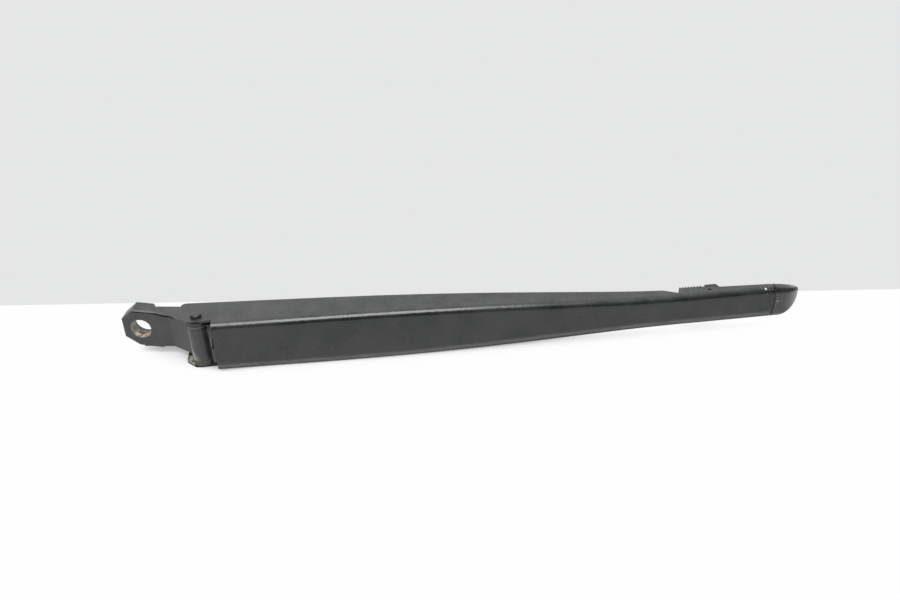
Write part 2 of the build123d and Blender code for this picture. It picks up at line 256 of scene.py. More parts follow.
# Colours
PAINT_DARK = rgb(0.009, 0.0115, 0.011)
PAINT_PALE = rgb(0.025, 0.027, 0.0265)
PAINT_RED = rgb(0.030, 0.026, 0.026)
# Painted reflection of the bench on the web's lower bend
LOWER_BEND_REFLECTION = rgb(0.115, 0.118, 0.115)
# Bare metal of worn edges, also used for the painted highlight on the barrel's rim
BARE_EDGE_AND_HIGHLIGHT = rgb(0.20, 0.20, 0.195)
CHIPPED = rgb(0.30, 0.30, 0.29)
# Near-black for real cracks and for painted shade in creases, gaps and under the web
CRACK_AND_SHADE = rgb(0.006, 0.006, 0.006)
DUST = rgb(0.17, 0.175, 0.17)
MOSS = rgb(0.34, 0.35, 0.20)
SILT = rgb(0.52, 0.53, 0.44)
CASTING_DARK = rgb(0.034, 0.037, 0.036)
CASTING_PALE = rgb(0.062, 0.062, 0.060)
# Bare casting for worn edges, also used for painted highlights on the head's edges
BARE_CASTING_AND_HIGHLIGHT = rgb(0.22, 0.22, 0.215)
SCRAPED_FACET = rgb(0.24, 0.24, 0.235)
# Painted highlight on the barrel's left flank
FLANK_HIGHLIGHT = rgb(0.42, 0.42, 0.415)
BORE_TAN = rgb(0.36, 0.315, 0.25)
BORE_RUST = rgb(0.21, 0.145, 0.105)
BORE_PALE_LOW = rgb(0.78, 0.76, 0.63)
CAP_DARK = rgb(0.036, 0.037, 0.036)
CAP_PALE = rgb(0.062, 0.062, 0.060)
# Painted reflection on the cap's toe
CAP_TOE_REFLECTION = rgb(0.40, 0.40, 0.39)
# Painted shade along the cap's shoulder
CAP_SHOULDER_SHADE = rgb(0.008, 0.009, 0.009)
STEEL_STAIN = rgb(0.16, 0.075, 0.035)
PRIMER_PALE = rgb(0.85, 0.85, 0.83)
PRIMER_DULL = rgb(0.62, 0.61, 0.58)
FLAKE_DARK = rgb(0.06, 0.061, 0.06)
FLAKE_PALE = rgb(0.20, 0.20, 0.194)

GLOSSY_IOR = 1.58
PLASTIC_IOR = 1.55

# Spots of dirt and wear: place in the part's frame, reach and core, all in millimetres
EAR_SILT = ((26.4, -10.6, -12.9), 5.2, 3.4)
BARREL_SILT = ((27.4, -11.0, -10.6), 7.5, 3.0)
MOSS_PATCH = ((28.2, -13.8, -10.8), 4.5, 0.5)
EYE_FACET = ((-5.6, 0.5, 8.6), 5.0, 1.5)
CAP_BRUISE = ((326.7, 28.3, 6.7), 1.6, 0.5)

# Bands of painted light and shade, each coming in or going out over a stretch
WEB_SIDE = (4.6 * MM, 6.0 * MM)
REFLECTION_RISE = (1.9 * MM, 2.7 * MM)
REFLECTION_FALL = (3.5 * MM, 4.9 * MM)
CONTACT_SHADE_FALL = (1.8 * MM, 2.5 * MM)
EYE_CORNER = (-4.0 * MM, -2.5 * MM)
RIM_HIGHLIGHT_END = (10.5 * MM, 12.5 * MM)
CREASE_SHADE_END = (18.0 * MM, 20.0 * MM)
BARREL_RIM_HIGHLIGHT_RISE = (BARREL_TOP - 0.9 * MM, BARREL_TOP - 0.6 * MM)
GROOVE_SHADE_RISE = (BARREL_TOP - 1.9 * MM, BARREL_TOP - 1.6 * MM)
GROOVE_SHADE_FALL = (BARREL_TOP - 1.1 * MM, BARREL_TOP - 0.8 * MM)


# Patterns that several finishes share

def blotches(tree, part, scale):
    return ramp(tree, grain(tree, part, scale, 4.0, 0.6), 0.34, 0.68)


def dust_specks(tree, part, scale, low, high):
    return ramp(tree, grain(tree, part, scale, 2.0, 0.5), low, high)


def dust_film(tree, part, scale, thin, thick):
    """Uneven film of dust on what looks at the sky."""
    film = ramp(tree, grain(tree, part, scale, 4.0, 0.65), 0.25, 0.75, thin, thick)
    return product(tree, film, facing_up(tree))


def silt_crust(tree, part, full):
    return ramp(tree, grain(tree, part, 420.0, 4.0, 0.65), 0.28, full)


def rubbed_edges(tree, reach, low=0.80, high=0.985):
    """Share of wear along sharp edges, broken up by a fine grain."""
    rounded = new_node(tree, "ShaderNodeBevel", samples=6)
    rounded.inputs["Radius"].default_value = reach
    flat = new_node(tree, "ShaderNodeNewGeometry")
    turn = new_node(tree, "ShaderNodeVectorMath", operation="DOT_PRODUCT")
    tree.links.new(rounded.outputs["Normal"], turn.inputs[0])
    tree.links.new(flat.outputs["Normal"], turn.inputs[1])
    edge = ramp(tree, turn.outputs["Value"], high, low)
    broken = ramp(tree, grain(tree, on_part(tree), 900.0, 4.0, 0.65), 0.36, 0.62)
    return product(tree, edge, broken)


def seam_crack(tree, part, along):
    """Share of the dark crack that wanders about the cap's seam."""
    wander = ramp(tree, grain(tree, part, 260.0, 3.0, 0.6), 0.36, 0.64, -0.9 * MM, 0.9 * MM)
    off = math_step(tree, "SUBTRACT", math_step(tree, "ADD", along, wander), SEAM_REACH + 0.15 * MM)
    width = ramp(tree, grain(tree, part, 400.0, 2.0), 0.3, 0.7, 0.25 * MM, 0.65 * MM)
    inside = math_step(tree, "SUBTRACT", width, math_step(tree, "ABSOLUTE", off, 0.0))
    return ramp(tree, inside, -0.08 * MM, 0.08 * MM)


# Stoved black paint of the channel and the hinge pin

def lower_bend_marks(tree, arm, colour):
    """Painted reflection of the bright bench along the lower bend of the web, streaked like a rub, and
    painted contact shade with less gloss beneath it.
    """
    along, inward, height = split(tree, arm)
    drop = ramp(tree, along, TAPER_START, TAPER_END, DROP_AT_HINGE, DROP_AT_TIP)
    above_edge = math_step(tree, "ADD", height, drop)
    by_web = ramp(tree, inward, WEB_SIDE[1], WEB_SIDE[0])
    drawn = stretched(tree, arm, (1.0, 6.0, 6.0))
    streaks = ramp(tree, grain(tree, drawn, 90.0, 4.0, 0.65), 0.30, 0.62, 0.45, 1.0)
    # Painted reflection of the bench: a pale streaky band on the lower bend
    bend_reflection = product(tree, between(tree, above_edge, REFLECTION_RISE, REFLECTION_FALL), by_web, streaks)
    colour = blended(tree, bend_reflection, colour, LOWER_BEND_REFLECTION)
    # Painted contact shade: near-black along the underside where the web meets the bench
    contact_shade = product(tree, ramp(tree, above_edge, CONTACT_SHADE_FALL[1], CONTACT_SHADE_FALL[0]), by_web)
    return blended(tree, contact_shade, colour, CRACK_AND_SHADE), contact_shade


def seam_marks(tree, part, arm, colour):
    """Small chips on the upper side by the cap's seam, and the crack along it."""
    along, _, height = split(tree, arm)
    near_seam = ramp(tree, along, SEAM_REACH - 9.0 * MM, SEAM_REACH - 0.5 * MM)
    high_side = ramp(tree, height, 3.5 * MM, 6.0 * MM)
    chips = ramp(tree, grain(tree, part, 950.0, 3.0, 0.6), 0.60, 0.64)
    colour = blended(tree, product(tree, chips, near_seam, high_side, 0.8), colour, CHIPPED)
    return blended(tree, seam_crack(tree, part, along), colour, CRACK_AND_SHADE)


def black_paint():
    """Stoved black paint on folded steel: orange peel, blotches, dust, rubbed edges, a chipped end, and a
    painted reflection and painted contact shade along the lower bend.
    """
    finish, tree, shader = finish_named("stoved_black_paint")
    part = on_part(tree)
    arm = on_arm(tree)
    blotch = ramp(tree, grain(tree, part, 48.0, 6.0, 0.62), 0.36, 0.64)
    colour = blended(tree, blotch, PAINT_DARK, PAINT_PALE)
    warm = ramp(tree, grain(tree, part, 55.0, 3.0, 0.5, 0.4), 0.50, 0.70)
    colour = blended(tree, product(tree, warm, 0.7), colour, PAINT_RED)
    colour = blended(tree, dust_film(tree, part, 140.0, 0.10, 0.26), colour, DUST)
    specks = dust_specks(tree, part, 1500.0, 0.66, 0.76)
    colour = blended(tree, product(tree, specks, 0.22), colour, DUST)
    worn = rubbed_edges(tree, 0.45 * MM)
    colour = blended(tree, product(tree, worn, 0.7), colour, BARE_EDGE_AND_HIGHLIGHT)
    colour, contact_shade = lower_bend_marks(tree, arm, colour)
    colour = seam_marks(tree, part, arm, colour)
    silt = product(tree, silt_crust(tree, part, 0.50), spot(tree, part, *EAR_SILT), facing_up(tree), 0.95)
    colour = blended(tree, silt, colour, SILT)
    drawn = stretched(tree, arm, (1.0, 9.0, 9.0))
    scuffs = ramp(tree, grain(tree, drawn, 120.0, 4.0, 0.7), 0.35, 0.7, 0.22, 0.28)
    rough = math_step(tree, "ADD", scuffs, ramp(tree, blotch, 0.0, 1.0, 0.0, 0.06))
    peel = bumped(tree, grain(tree, part, 480.0, 2.0, 0.5), 0.10, 0.12 * MM)
    relief = bumped(tree, grain(tree, part, 2400.0, 2.0, 0.5), 0.08, 0.05 * MM, peel)
    dress(tree, shader, colour, rough, relief, GLOSSY_IOR)
    # Less gloss in the painted contact shade
    put(tree, ramp(tree, contact_shade, 0.0, 1.0, 0.5, 0.12), shader.inputs["Specular IOR Level"])
    return finish


# Painted casting of the mounting head

def front_edge_height(tree, across):
    """Height of the head's upper front edge: along the eye, down its shoulder, then along the neck."""
    eye = falling(tree, across, EYE_TOP_START, EYE_TOP, EYE_FALL)
    shoulder = falling(tree, across, SHOULDER_START, SHOULDER_TOP, SHOULDER_FALL)
    return math_step(tree, "MAXIMUM", math_step(tree, "MINIMUM", eye, shoulder), NECK_TOP)


def front_edge_marks(tree, part, broken, colour):
    """Painted highlight along the eye's upper front edge, drawn as a rubbed rim, and painted shade in the
    crease under it and along the neck.
    """
    across, inward, height = split(tree, part)
    raised = upward(tree)
    under_edge = math_step(tree, "SUBTRACT", front_edge_height(tree, across), height)
    # Painted highlight: a pale line along the eye's upper front edge
    rim = product(
        tree,
        ramp(tree, raised, 0.3, 0.5),
        ramp(tree, inward, EYE_FRONT + 0.8 * MM, EYE_FRONT + 0.5 * MM),
        ramp(tree, under_edge, 0.9 * MM, 0.6 * MM),
        between(tree, across, EYE_CORNER, RIM_HIGHLIGHT_END),
        broken,
    )
    colour = blended(tree, product(tree, rim, 0.6), colour, BARE_CASTING_AND_HIGHLIGHT)
    # Painted shade: a dark line in the crease under the edge and along the neck
    crease_shade = product(
        tree,
        ramp(tree, raised, 0.45, 0.25),
        ramp(tree, inward, 1.0 * MM, 0.0),
        ramp(tree, under_edge, 1.2 * MM, 0.9 * MM),
        between(tree, across, EYE_CORNER, CREASE_SHADE_END),
        broken,
    )
    return blended(tree, crease_shade, colour, CRACK_AND_SHADE), crease_shade


def stained_bore(tree, part, colour):
    """Bare metal in the spindle bore, stained brown, and paler towards its lower side."""
    height = split(tree, part)[2]
    from_axis = distance_to(tree, stretched(tree, part, (1.0, 0.0, 1.0)), (0.0, 0.0, 0.0))
    ragged = ramp(tree, grain(tree, part, 700.0, 3.0, 0.6), 0.2, 0.8, -0.25 * MM, 0.25 * MM)
    bore = ramp(tree, math_step(tree, "ADD", from_axis, ragged), BORE_RIM + 0.15 * MM, BORE_RIM)
    stain = ramp(tree, grain(tree, part, 330.0, 4.0, 0.65, 0.5), 0.38, 0.60)
    bare = blended(tree, stain, BORE_TAN, BORE_RUST)
    # Paler towards the bore's lower side
    low_side = ramp(tree, height, -1.5 * MM, -4.2 * MM)
    pale_low = product(tree, low_side, ramp(tree, stain, 1.0, 0.2), 0.9)
    return blended(tree, bore, colour, blended(tree, pale_low, bare, BORE_PALE_LOW))


def barrel_marks(tree, part, scrape, broken, colour):
    """Painted highlights on the barrel's left flank and its upper rim, painted shade in a line under the rim,
    and silt and moss at its foot.
    """
    across, _, height = split(tree, part)
    from_pin = distance_to(tree, stretched(tree, part, (1.0, 1.0, 0.0)), (HINGE.x, HINGE.y, 0.0))
    barrel = ramp(tree, from_pin, BARREL_RADIUS + 0.4 * MM, BARREL_RADIUS + 0.1 * MM)
    # Painted highlight: a pale line down the barrel's left flank
    flank_highlight = ramp(tree, across, HINGE.x - 3.0 * MM, HINGE.x - 4.6 * MM)
    flank_highlight = product(tree, barrel, flank_highlight, ramp(tree, scrape, 0.0, 1.0, 0.5, 1.0))
    colour = blended(tree, flank_highlight, colour, FLANK_HIGHLIGHT)
    # Painted highlight along the barrel's upper rim
    rim = product(tree, barrel, ramp(tree, height, *BARREL_RIM_HIGHLIGHT_RISE), broken, 0.75)
    colour = blended(tree, rim, colour, BARE_EDGE_AND_HIGHLIGHT)
    # Painted shade: a dark line in the gap under the rim
    groove_shade = product(tree, barrel, between(tree, height, GROOVE_SHADE_RISE, GROOVE_SHADE_FALL), 0.7)
    colour = blended(tree, groove_shade, colour, CRACK_AND_SHADE)
    silt = silt_crust(tree, part, 0.55)
    foot = product(tree, silt, spot(tree, part, *BARREL_SILT), barrel, 0.85)
    colour = blended(tree, foot, colour, SILT)
    green = product(tree, silt, spot(tree, part, *MOSS_PATCH), 0.6)
    return blended(tree, green, colour, MOSS)


def black_cast():
    """Painted casting: sandy skin, rubbed edges and facets whose worn edges also carry painted highlights,
    painted shade in the neck's crease, a stained bore, and a dirty barrel with painted highlights and shade.
    """
    finish, tree, shader = finish_named("painted_casting")
    part = on_part(tree)
    blotch = blotches(tree, part, 130.0)
    colour = blended(tree, blotch, CASTING_DARK, CASTING_PALE)
    colour = blended(tree, dust_film(tree, part, 260.0, 0.02, 0.12), colour, DUST)
    specks = dust_specks(tree, part, 1300.0, 0.62, 0.74)
    colour = blended(tree, product(tree, specks, 0.3), colour, DUST)
    # Worn edges, made broad and pale so that they also stand in for the edges' highlights
    worn = rubbed_edges(tree, 0.8 * MM)
    colour = blended(tree, product(tree, worn, 0.85), colour, BARE_CASTING_AND_HIGHLIGHT)
    scrape = ramp(tree, grain(tree, part, 330.0, 4.0, 0.65), 0.42, 0.60)
    facet = product(tree, spot(tree, part, *EYE_FACET), scrape, 0.12)
    colour = blended(tree, facet, colour, SCRAPED_FACET)
    broken = ramp(tree, grain(tree, part, 420.0, 3.0, 0.6), 0.30, 0.50, 0.5, 1.0)
    colour, crease_shade = front_edge_marks(tree, part, broken, colour)
    colour = stained_bore(tree, part, colour)
    colour = barrel_marks(tree, part, scrape, broken, colour)
    rough = ramp(tree, blotch, 0.0, 1.0, 0.36, 0.46)
    ripple = bumped(tree, grain(tree, part, 300.0, 3.0, 0.55), 0.18, 0.25 * MM)
    relief = bumped(tree, grain(tree, part, 1400.0, 3.0, 0.6), 0.14, 0.10 * MM, ripple)
    dress(tree, shader, colour, rough, relief, GLOSSY_IOR)
    # Less gloss in the painted crease shade
    put(tree, ramp(tree, crease_shade, 0.0, 1.0, 0.5, 0.1), shader.inputs["Specular IOR Level"])
    return finish


# Plastics, steel and loose paint

def black_plastic(name, dark, pale, rough_low, rough_high):
    """Moulded black plastic with a fine spark grain, rubbed and dusty."""
    finish, tree, shader = finish_named(name)
    part = on_part(tree)
    blotch = blotches(tree, part, 150.0)
    colour = blended(tree, blotch, dark, pale)
    specks = dust_specks(tree, part, 1600.0, 0.60, 0.74)
    colour = blended(tree, product(tree, specks, 0.4), colour, DUST)
    worn = rubbed_edges(tree, 0.5 * MM)
    colour = blended(tree, product(tree, worn, 0.8), colour, BARE_EDGE_AND_HIGHLIGHT)
    rough = ramp(tree, blotch, 0.0, 1.0, rough_low, rough_high)
    spark = bumped(tree, grain(tree, part, 2000.0, 2.0, 0.5), 0.2, 0.08 * MM)
    dress(tree, shader, colour, rough, spark, PLASTIC_IOR)
    return finish


def cap_plastic():
    """End cap with a painted reflection, pale towards the toe, painted shade along its shoulder, dark along
    its seam, and a bruise on top.
    """
    finish, tree, shader = finish_named("cap_plastic_painted_light")
    part = on_part(tree)
    along = split(tree, on_arm(tree))[0]
    blotch = blotches(tree, part, 170.0)
    colour = blended(tree, blotch, CAP_DARK, CAP_PALE)
    # Painted reflection: paler towards the toe
    toe_reflection = ramp(tree, along, SEAM_REACH + 4.0 * MM, SEAM_REACH + 13.5 * MM)
    colour = blended(tree, product(tree, toe_reflection, toe_reflection, 0.8), colour, CAP_TOE_REFLECTION)
    specks = ramp(tree, grain(tree, part, 1400.0, 3.0, 0.6), 0.50, 0.62)
    colour = blended(tree, product(tree, specks, ramp(tree, toe_reflection, 0.0, 1.0, 0.15, 0.7)), colour, CHIPPED)
    # Painted shade: a dark band along the cap's rounded shoulder
    shoulder = between(tree, upward(tree), (0.18, 0.42), (0.82, 0.96))
    colour = blended(tree, product(tree, shoulder, 0.9), colour, CAP_SHOULDER_SHADE)
    colour = blended(tree, seam_crack(tree, part, along), colour, CRACK_AND_SHADE)
    bruise = spot(tree, part, *CAP_BRUISE)
    colour = blended(tree, product(tree, bruise, 0.9), colour, CRACK_AND_SHADE)
    worn = rubbed_edges(tree, 0.35 * MM, 0.82)
    colour = blended(tree, product(tree, worn, 0.5), colour, BARE_EDGE_AND_HIGHLIGHT)
    rough = ramp(tree, blotch, 0.0, 1.0, 0.36, 0.48)
    spark = bumped(tree, grain(tree, part, 1500.0, 3.0, 0.6), 0.25, 0.10 * MM)
    dress(tree, shader, colour, rough, spark, GLOSSY_IOR)
    return finish


def spring_steel(name, dark, pale):
    """Oiled steel with a drawn grain and a few brown stains."""
    finish, tree, shader = finish_named(name)
    part = on_part(tree)
    blotch = ramp(tree, grain(tree, part, 180.0, 4.0, 0.6), 0.36, 0.66)
    colour = blended(tree, blotch, dark, pale)
    stain = ramp(tree, grain(tree, part, 90.0, 4.0, 0.65, 0.5), 0.58, 0.72)
    colour = blended(tree, product(tree, stain, 0.5), colour, STEEL_STAIN)
    rough = ramp(tree, blotch, 0.0, 1.0, 0.30, 0.46)
    fine = bumped(tree, grain(tree, part, 2400.0, 2.0, 0.5), 0.12, 0.05 * MM)
    dress(tree, shader, colour, rough, fine)
    shader.inputs["Metallic"].default_value = 0.85
    return finish


def primer():
    """Pale undercoat of a fresh chip."""
    finish, tree, shader = finish_named("pale_primer")
    part = on_part(tree)
    dull = ramp(tree, grain(tree, part, 1500.0), 0.4, 0.65)
    crust = bumped(tree, grain(tree, part, 2600.0), 0.2, 0.05 * MM)
    dress(tree, shader, blended(tree, dull, PRIMER_PALE, PRIMER_DULL), 0.6, crust)
    return finish


def flake_paint():
    """Back of a lifted flake: dull, chalky black."""
    finish, tree, shader = finish_named("lifted_paint")
    part = on_part(tree)
    chalk = ramp(tree, grain(tree, part, 900.0, 3.0, 0.6), 0.40, 0.62)
    crust = bumped(tree, grain(tree, part, 2600.0), 0.2, 0.05 * MM)
    rough = ramp(tree, chalk, 0.0, 1.0, 0.45, 0.7)
    dress(tree, shader, blended(tree, chalk, FLAKE_DARK, FLAKE_PALE), rough, crust)
    return finish


# Pieces made here

def into_place(piece, place):
    """Puts a piece's place into its mesh, so that its object stays at the origin."""
    piece.data.transform(place @ piece.matrix_world)
    piece.matrix_world = Matrix.Identity(4)


def round_wire_spring():
    """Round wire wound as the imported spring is, its ends closed."""
    bpy.ops.object.select_all(action="DESELECT")
    lead = math.atan2(COIL_PITCH, 2.0 * math.pi * COIL_RADIUS)
    bpy.ops.mesh.primitive_circle_add(
        vertices=WIRE_SIDES,
        radius=WIRE_RADIUS,
        location=(COIL_RADIUS, 0.0, 0.0),
        rotation=(math.pi / 2.0 + lead, 0.0, 0.0),
    )
    spring = bpy.context.object
    spring.name = "round_wire_spring"
    bpy.ops.object.transform_apply(location=True, rotation=True, scale=True)
    winding = spring.modifiers.new("winding", "SCREW")
    winding.axis = "Z"
    winding.angle = 2.0 * math.pi
    winding.screw_offset = COIL_PITCH
    winding.iterations = COIL_TURNS
    winding.steps = STEPS_A_TURN
    winding.render_steps = STEPS_A_TURN
    bpy.ops.object.modifier_apply(modifier="winding")
    bpy.ops.object.mode_set(mode="EDIT")
    bpy.ops.mesh.select_all(action="SELECT")
    bpy.ops.mesh.remove_doubles(threshold=0.01 * MM)
    bpy.ops.mesh.fill_holes(sides=0)
    bpy.ops.mesh.select_all(action="SELECT")
    bpy.ops.mesh.normals_make_consistent(inside=False)
    bpy.ops.object.mode_set(mode="OBJECT")
    bpy.ops.object.shade_smooth_by_angle(angle=math.radians(40.0))
    across = Vector((-SPRING_LINE.y, SPRING_LINE.x, 0.0))
    overhead = Vector((0.0, 0.0, 1.0))
    turned = Matrix((across, overhead, SPRING_LINE)).transposed().to_4x4()
    into_place(spring, Matrix.Translation(SPRING_PIN + SPRING_LINE * COIL_START) @ turned)
    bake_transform(spring)
    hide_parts("tension_spring")
    return spring


FLAKE_SIZE = 1.9 * MM
FLAKE_GRID = 6
FLAKE_THICKNESS = 0.12 * MM
FLAKE_CURL = 0.34 * MM
FLAKE_SAG = 0.10 * MM
FLAKE_WAVE = 5.0
FLAKE_STAND_OFF = 0.16 * MM
# Corners that snap off: a point on each cut and its outward direction, in shares of the flake's size
FLAKE_CUTS = [
    ((0.45, 0.2), (1.0, 0.55)),
    ((-0.5, 0.25), (-0.8, 0.9)),
    ((0.1, -0.42), (0.25, -1.0)),
    ((-0.4, -0.3), (-1.0, -0.5)),
]
# Flakes along the seam: reach beyond it and height from the arm's line in millimetres, turn in degrees, size
SEAM_FLAKES = [
    (1.3, 4.9, 20.0, 0.5),
    (1.4, 3.4, -35.0, 0.7),
    (1.6, 1.8, 12.0, 1.0),
    (-1.5, 1.2, 150.0, 0.5),
    (1.5, 0.1, -20.0, 0.8),
    (1.4, -1.6, 40.0, 0.6),
    (-1.6, -2.8, 170.0, 0.45),
    (1.2, -3.4, -15.0, 0.5),
]


def broken_flake():
    """One thin scrap of paint: a sheet with its corners snapped off and one side curled up."""
    bpy.ops.object.select_all(action="DESELECT")
    bpy.ops.mesh.primitive_grid_add(x_subdivisions=FLAKE_GRID, y_subdivisions=FLAKE_GRID, size=FLAKE_SIZE)
    flake = bpy.context.object
    flake.name = "paint_flake"
    bpy.ops.object.mode_set(mode="EDIT")
    for point, outward in FLAKE_CUTS:
        bpy.ops.mesh.select_all(action="SELECT")
        bpy.ops.mesh.bisect(
            plane_co=(point[0] * FLAKE_SIZE, point[1] * FLAKE_SIZE, 0.0),
            plane_no=(outward[0], outward[1], 0.0),
            clear_outer=True,
        )
    scrap = bmesh.from_edit_mesh(flake.data)
    for vertex in scrap.verts:
        lifted = max(0.0, vertex.co.x / (0.5 * FLAKE_SIZE))
        sag = FLAKE_SAG * math.cos(vertex.co.y / FLAKE_SIZE * FLAKE_WAVE)
        vertex.co.z += FLAKE_CURL * lifted**2 - sag
    bmesh.update_edit_mesh(flake.data)
    bpy.ops.object.mode_set(mode="OBJECT")
    sheet = flake.modifiers.new("sheet", "SOLIDIFY")
    sheet.thickness = FLAKE_THICKNESS
    sheet.offset = 0.0
    bpy.ops.object.modifier_apply(modifier="sheet")
    bpy.ops.object.mode_set(mode="EDIT")
    bpy.ops.mesh.select_all(action="SELECT")
    bpy.ops.mesh.remove_doubles(threshold=0.005 * MM)
    bpy.ops.mesh.normals_make_consistent(inside=False)
    bpy.ops.object.mode_set(mode="OBJECT")
    return flake


def seam_flakes():
    """Curled scraps of paint along the cap's seam, one model copied and joined."""
    first = broken_flake()
    scraps = []
    for reach, height, turn, size in SEAM_FLAKES:
        scrap = first.copy()
        scrap.data = first.data.copy()
        bpy.context.scene.collection.objects.link(scrap)
        place = Matrix.Translation((SEAM_REACH + reach * MM, -FLAKE_STAND_OFF, height * MM))
        outward = Matrix.Rotation(math.pi / 2.0, 4, "X")
        turned = Matrix.Rotation(math.radians(turn), 4, "Z")
        scrap.data.transform(ARM_PLACE @ place @ outward @ turned @ Matrix.Scale(size, 4))
        scraps.append(scrap)
    bpy.data.objects.remove(first)
    bpy.ops.object.select_all(action="DESELECT")
    for scrap in scraps:
        scrap.select_set(True)
    bpy.context.view_layer.objects.active = scraps[0]
    bpy.ops.object.join()
    joined = bpy.context.object
    joined.name = "seam_flakes"
    bpy.ops.object.shade_smooth_by_angle(angle=math.radians(35.0))
    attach(joined, "arm")
    return joined


CHIP_PLACE = Vector((282.0, 1.69, 8.12)) * MM
CHIP_LEAN = math.radians(60.0)
CHIP_RADIUS = 0.62 * MM
CHIP_RISE = 0.16 * MM
CHIP_SINK = 0.05 * MM
CHIP_CORNERS = 11
CHIP_RAGGED = 0.22


def primer_chip():
    """Small crusty chip of undercoat on the upper bend: a ragged disc, stepped up twice to a low crown."""
    bpy.ops.object.select_all(action="DESELECT")
    bpy.ops.mesh.primitive_circle_add(vertices=CHIP_CORNERS, radius=CHIP_RADIUS, fill_type="NGON")
    chip = bpy.context.object
    chip.name = "primer_chip"
    bpy.ops.object.mode_set(mode="EDIT")
    crust = bmesh.from_edit_mesh(chip.data)
    crust.verts.ensure_lookup_table()
    for number, vertex in enumerate(crust.verts):
        vertex.co *= 1.0 + CHIP_RAGGED * math.sin(number * 2.4)
    bmesh.update_edit_mesh(chip.data)
    bpy.ops.mesh.select_all(action="SELECT")
    bpy.ops.mesh.extrude_region_move(TRANSFORM_OT_translate={"value": (0.0, 0.0, CHIP_RISE)})
    bpy.ops.mesh.inset(thickness=CHIP_RADIUS * 0.28, depth=CHIP_RISE * 0.7)
    bpy.ops.mesh.inset(thickness=CHIP_RADIUS * 0.3, depth=CHIP_RISE * 0.3)
    bpy.ops.mesh.select_all(action="SELECT")
    bpy.ops.mesh.normals_make_consistent(inside=False)
    bpy.ops.object.mode_set(mode="OBJECT")
    bpy.ops.object.shade_smooth_by_angle(angle=math.radians(50.0))
    leaning = Matrix.Rotation(math.pi / 2.0 - CHIP_LEAN, 4, "X")
    sunk = Matrix.Translation((0.0, 0.0, -CHIP_SINK))
    into_place(chip, ARM_PLACE @ Matrix.Translation(CHIP_PLACE) @ leaning @ sunk)
    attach(chip, "arm")
    return chip


# Bench, wall, light and camera

BENCH_SIZE = 12.0
BENCH_RIM = 1.1
SHELTER_REACH = 34.0 * MM
NECK_SHADE_END = (28.0 * MM, 70.0 * MM)
SHADE_UNDER_NECK = 0.58
SHADE_UNDER_ARM = 0.16
BENCH_GLOW = 0.99
WALL_LEFT = Vector((-98.8, 41.9)) * MM
WALL_RIGHT = Vector((395.0, 63.0)) * MM
WALL_LENGTH = 3.0
WALL_HEIGHT = 0.26
LAMP_PLACE = (0.065, -0.20, 0.9)
LAMP_AIM = (0.065, -0.20, 0.0)
LAMP_WIDTH = 0.63
LAMP_DEPTH = 0.60
LAMP_LEVEL = 7.9
ROOM_LEVEL = 0.14
CAMERA_PLACE = Vector((183.76, -375.82, 246.0)) * MM
CAMERA_PITCH = math.radians(31.38)
CAMERA_YAW = math.radians(-4.32)
CAMERA_ROLL = math.radians(-2.02)
CAMERA_LENS = 36.56
CAMERA_SENSOR = 36.0


def matt_stage(name, colour):
    """Finish of the bench or the wall before it glows: matt, with hardly any shine."""
    finish, tree, shader = finish_named(name)
    shader.inputs["Base Color"].default_value = colour
    shader.inputs["Roughness"].default_value = 0.9
    shader.inputs["Specular IOR Level"].default_value = 0.1
    return finish, tree, shader


def glow_for_sight(tree, shader, colour, strength):
    """A surface that is seen and mirrored at its written tone, and lights what is round it as matt stuff."""
    glow = new_node(tree, "ShaderNodeEmission")
    glow.inputs["Color"].default_value = colour
    put(tree, strength, glow.inputs["Strength"])
    ray = new_node(tree, "ShaderNodeLightPath")
    seen = math_step(tree, "MAXIMUM", ray.outputs["Is Camera Ray"], ray.outputs["Is Glossy Ray"])
    seen = math_step(tree, "MAXIMUM", seen, ray.outputs["Is Transmission Ray"])
    front = new_node(tree, "ShaderNodeMixShader")
    tree.links.new(seen, front.inputs["Fac"])
    tree.links.new(shader.outputs["BSDF"], front.inputs[1])
    tree.links.new(glow.outputs["Emission"], front.inputs[2])
    return front.outputs["Shader"]


def bench():
    """White bench top that glows white where seen, with painted shadow where the part is close over it,
    deeper by the neck, and a far rim.
    """
    bpy.ops.object.select_all(action="DESELECT")
    bpy.ops.mesh.primitive_plane_add(size=BENCH_SIZE)
    top = bpy.context.object
    top.name = "bench"
    sheet = bmesh.new()
    sheet.from_mesh(top.data)
    rim = bmesh.ops.extrude_edge_only(sheet, edges=sheet.edges[:])["geom"]
    rim_corners = [one for one in rim if isinstance(one, bmesh.types.BMVert)]
    bmesh.ops.translate(sheet, vec=(0.0, 0.0, BENCH_RIM), verts=rim_corners)
    sheet.to_mesh(top.data)
    sheet.free()
    top.data.transform(Matrix.Translation((0.0, 0.0, BENCH_TOP)))
    finish, tree, shader = matt_stage("white_bench", rgb(0.85, 0.85, 0.85))
    shelter = new_node(tree, "ShaderNodeAmbientOcclusion", samples=16)
    shelter.inputs["Distance"].default_value = SHELTER_REACH
    # Painted shadow on the bench: darker where the part shelters it, more so by the neck
    close = ramp(tree, shelter.outputs["AO"], 0.02, 0.20, 0.05, 1.0)
    covered = ramp(tree, shelter.outputs["AO"], 0.62, 0.22)
    across = split(tree, on_part(tree))[0]
    depth = ramp(tree, across, *NECK_SHADE_END, SHADE_UNDER_NECK, SHADE_UNDER_ARM)
    lit = math_step(tree, "SUBTRACT", BENCH_GLOW, product(tree, covered, depth))
    surface = glow_for_sight(tree, shader, rgb(1.0, 1.0, 1.0), product(tree, close, lit))
    tree.links.new(surface, tree.nodes["Material Output"].inputs["Surface"])
    top.data.materials.append(finish)


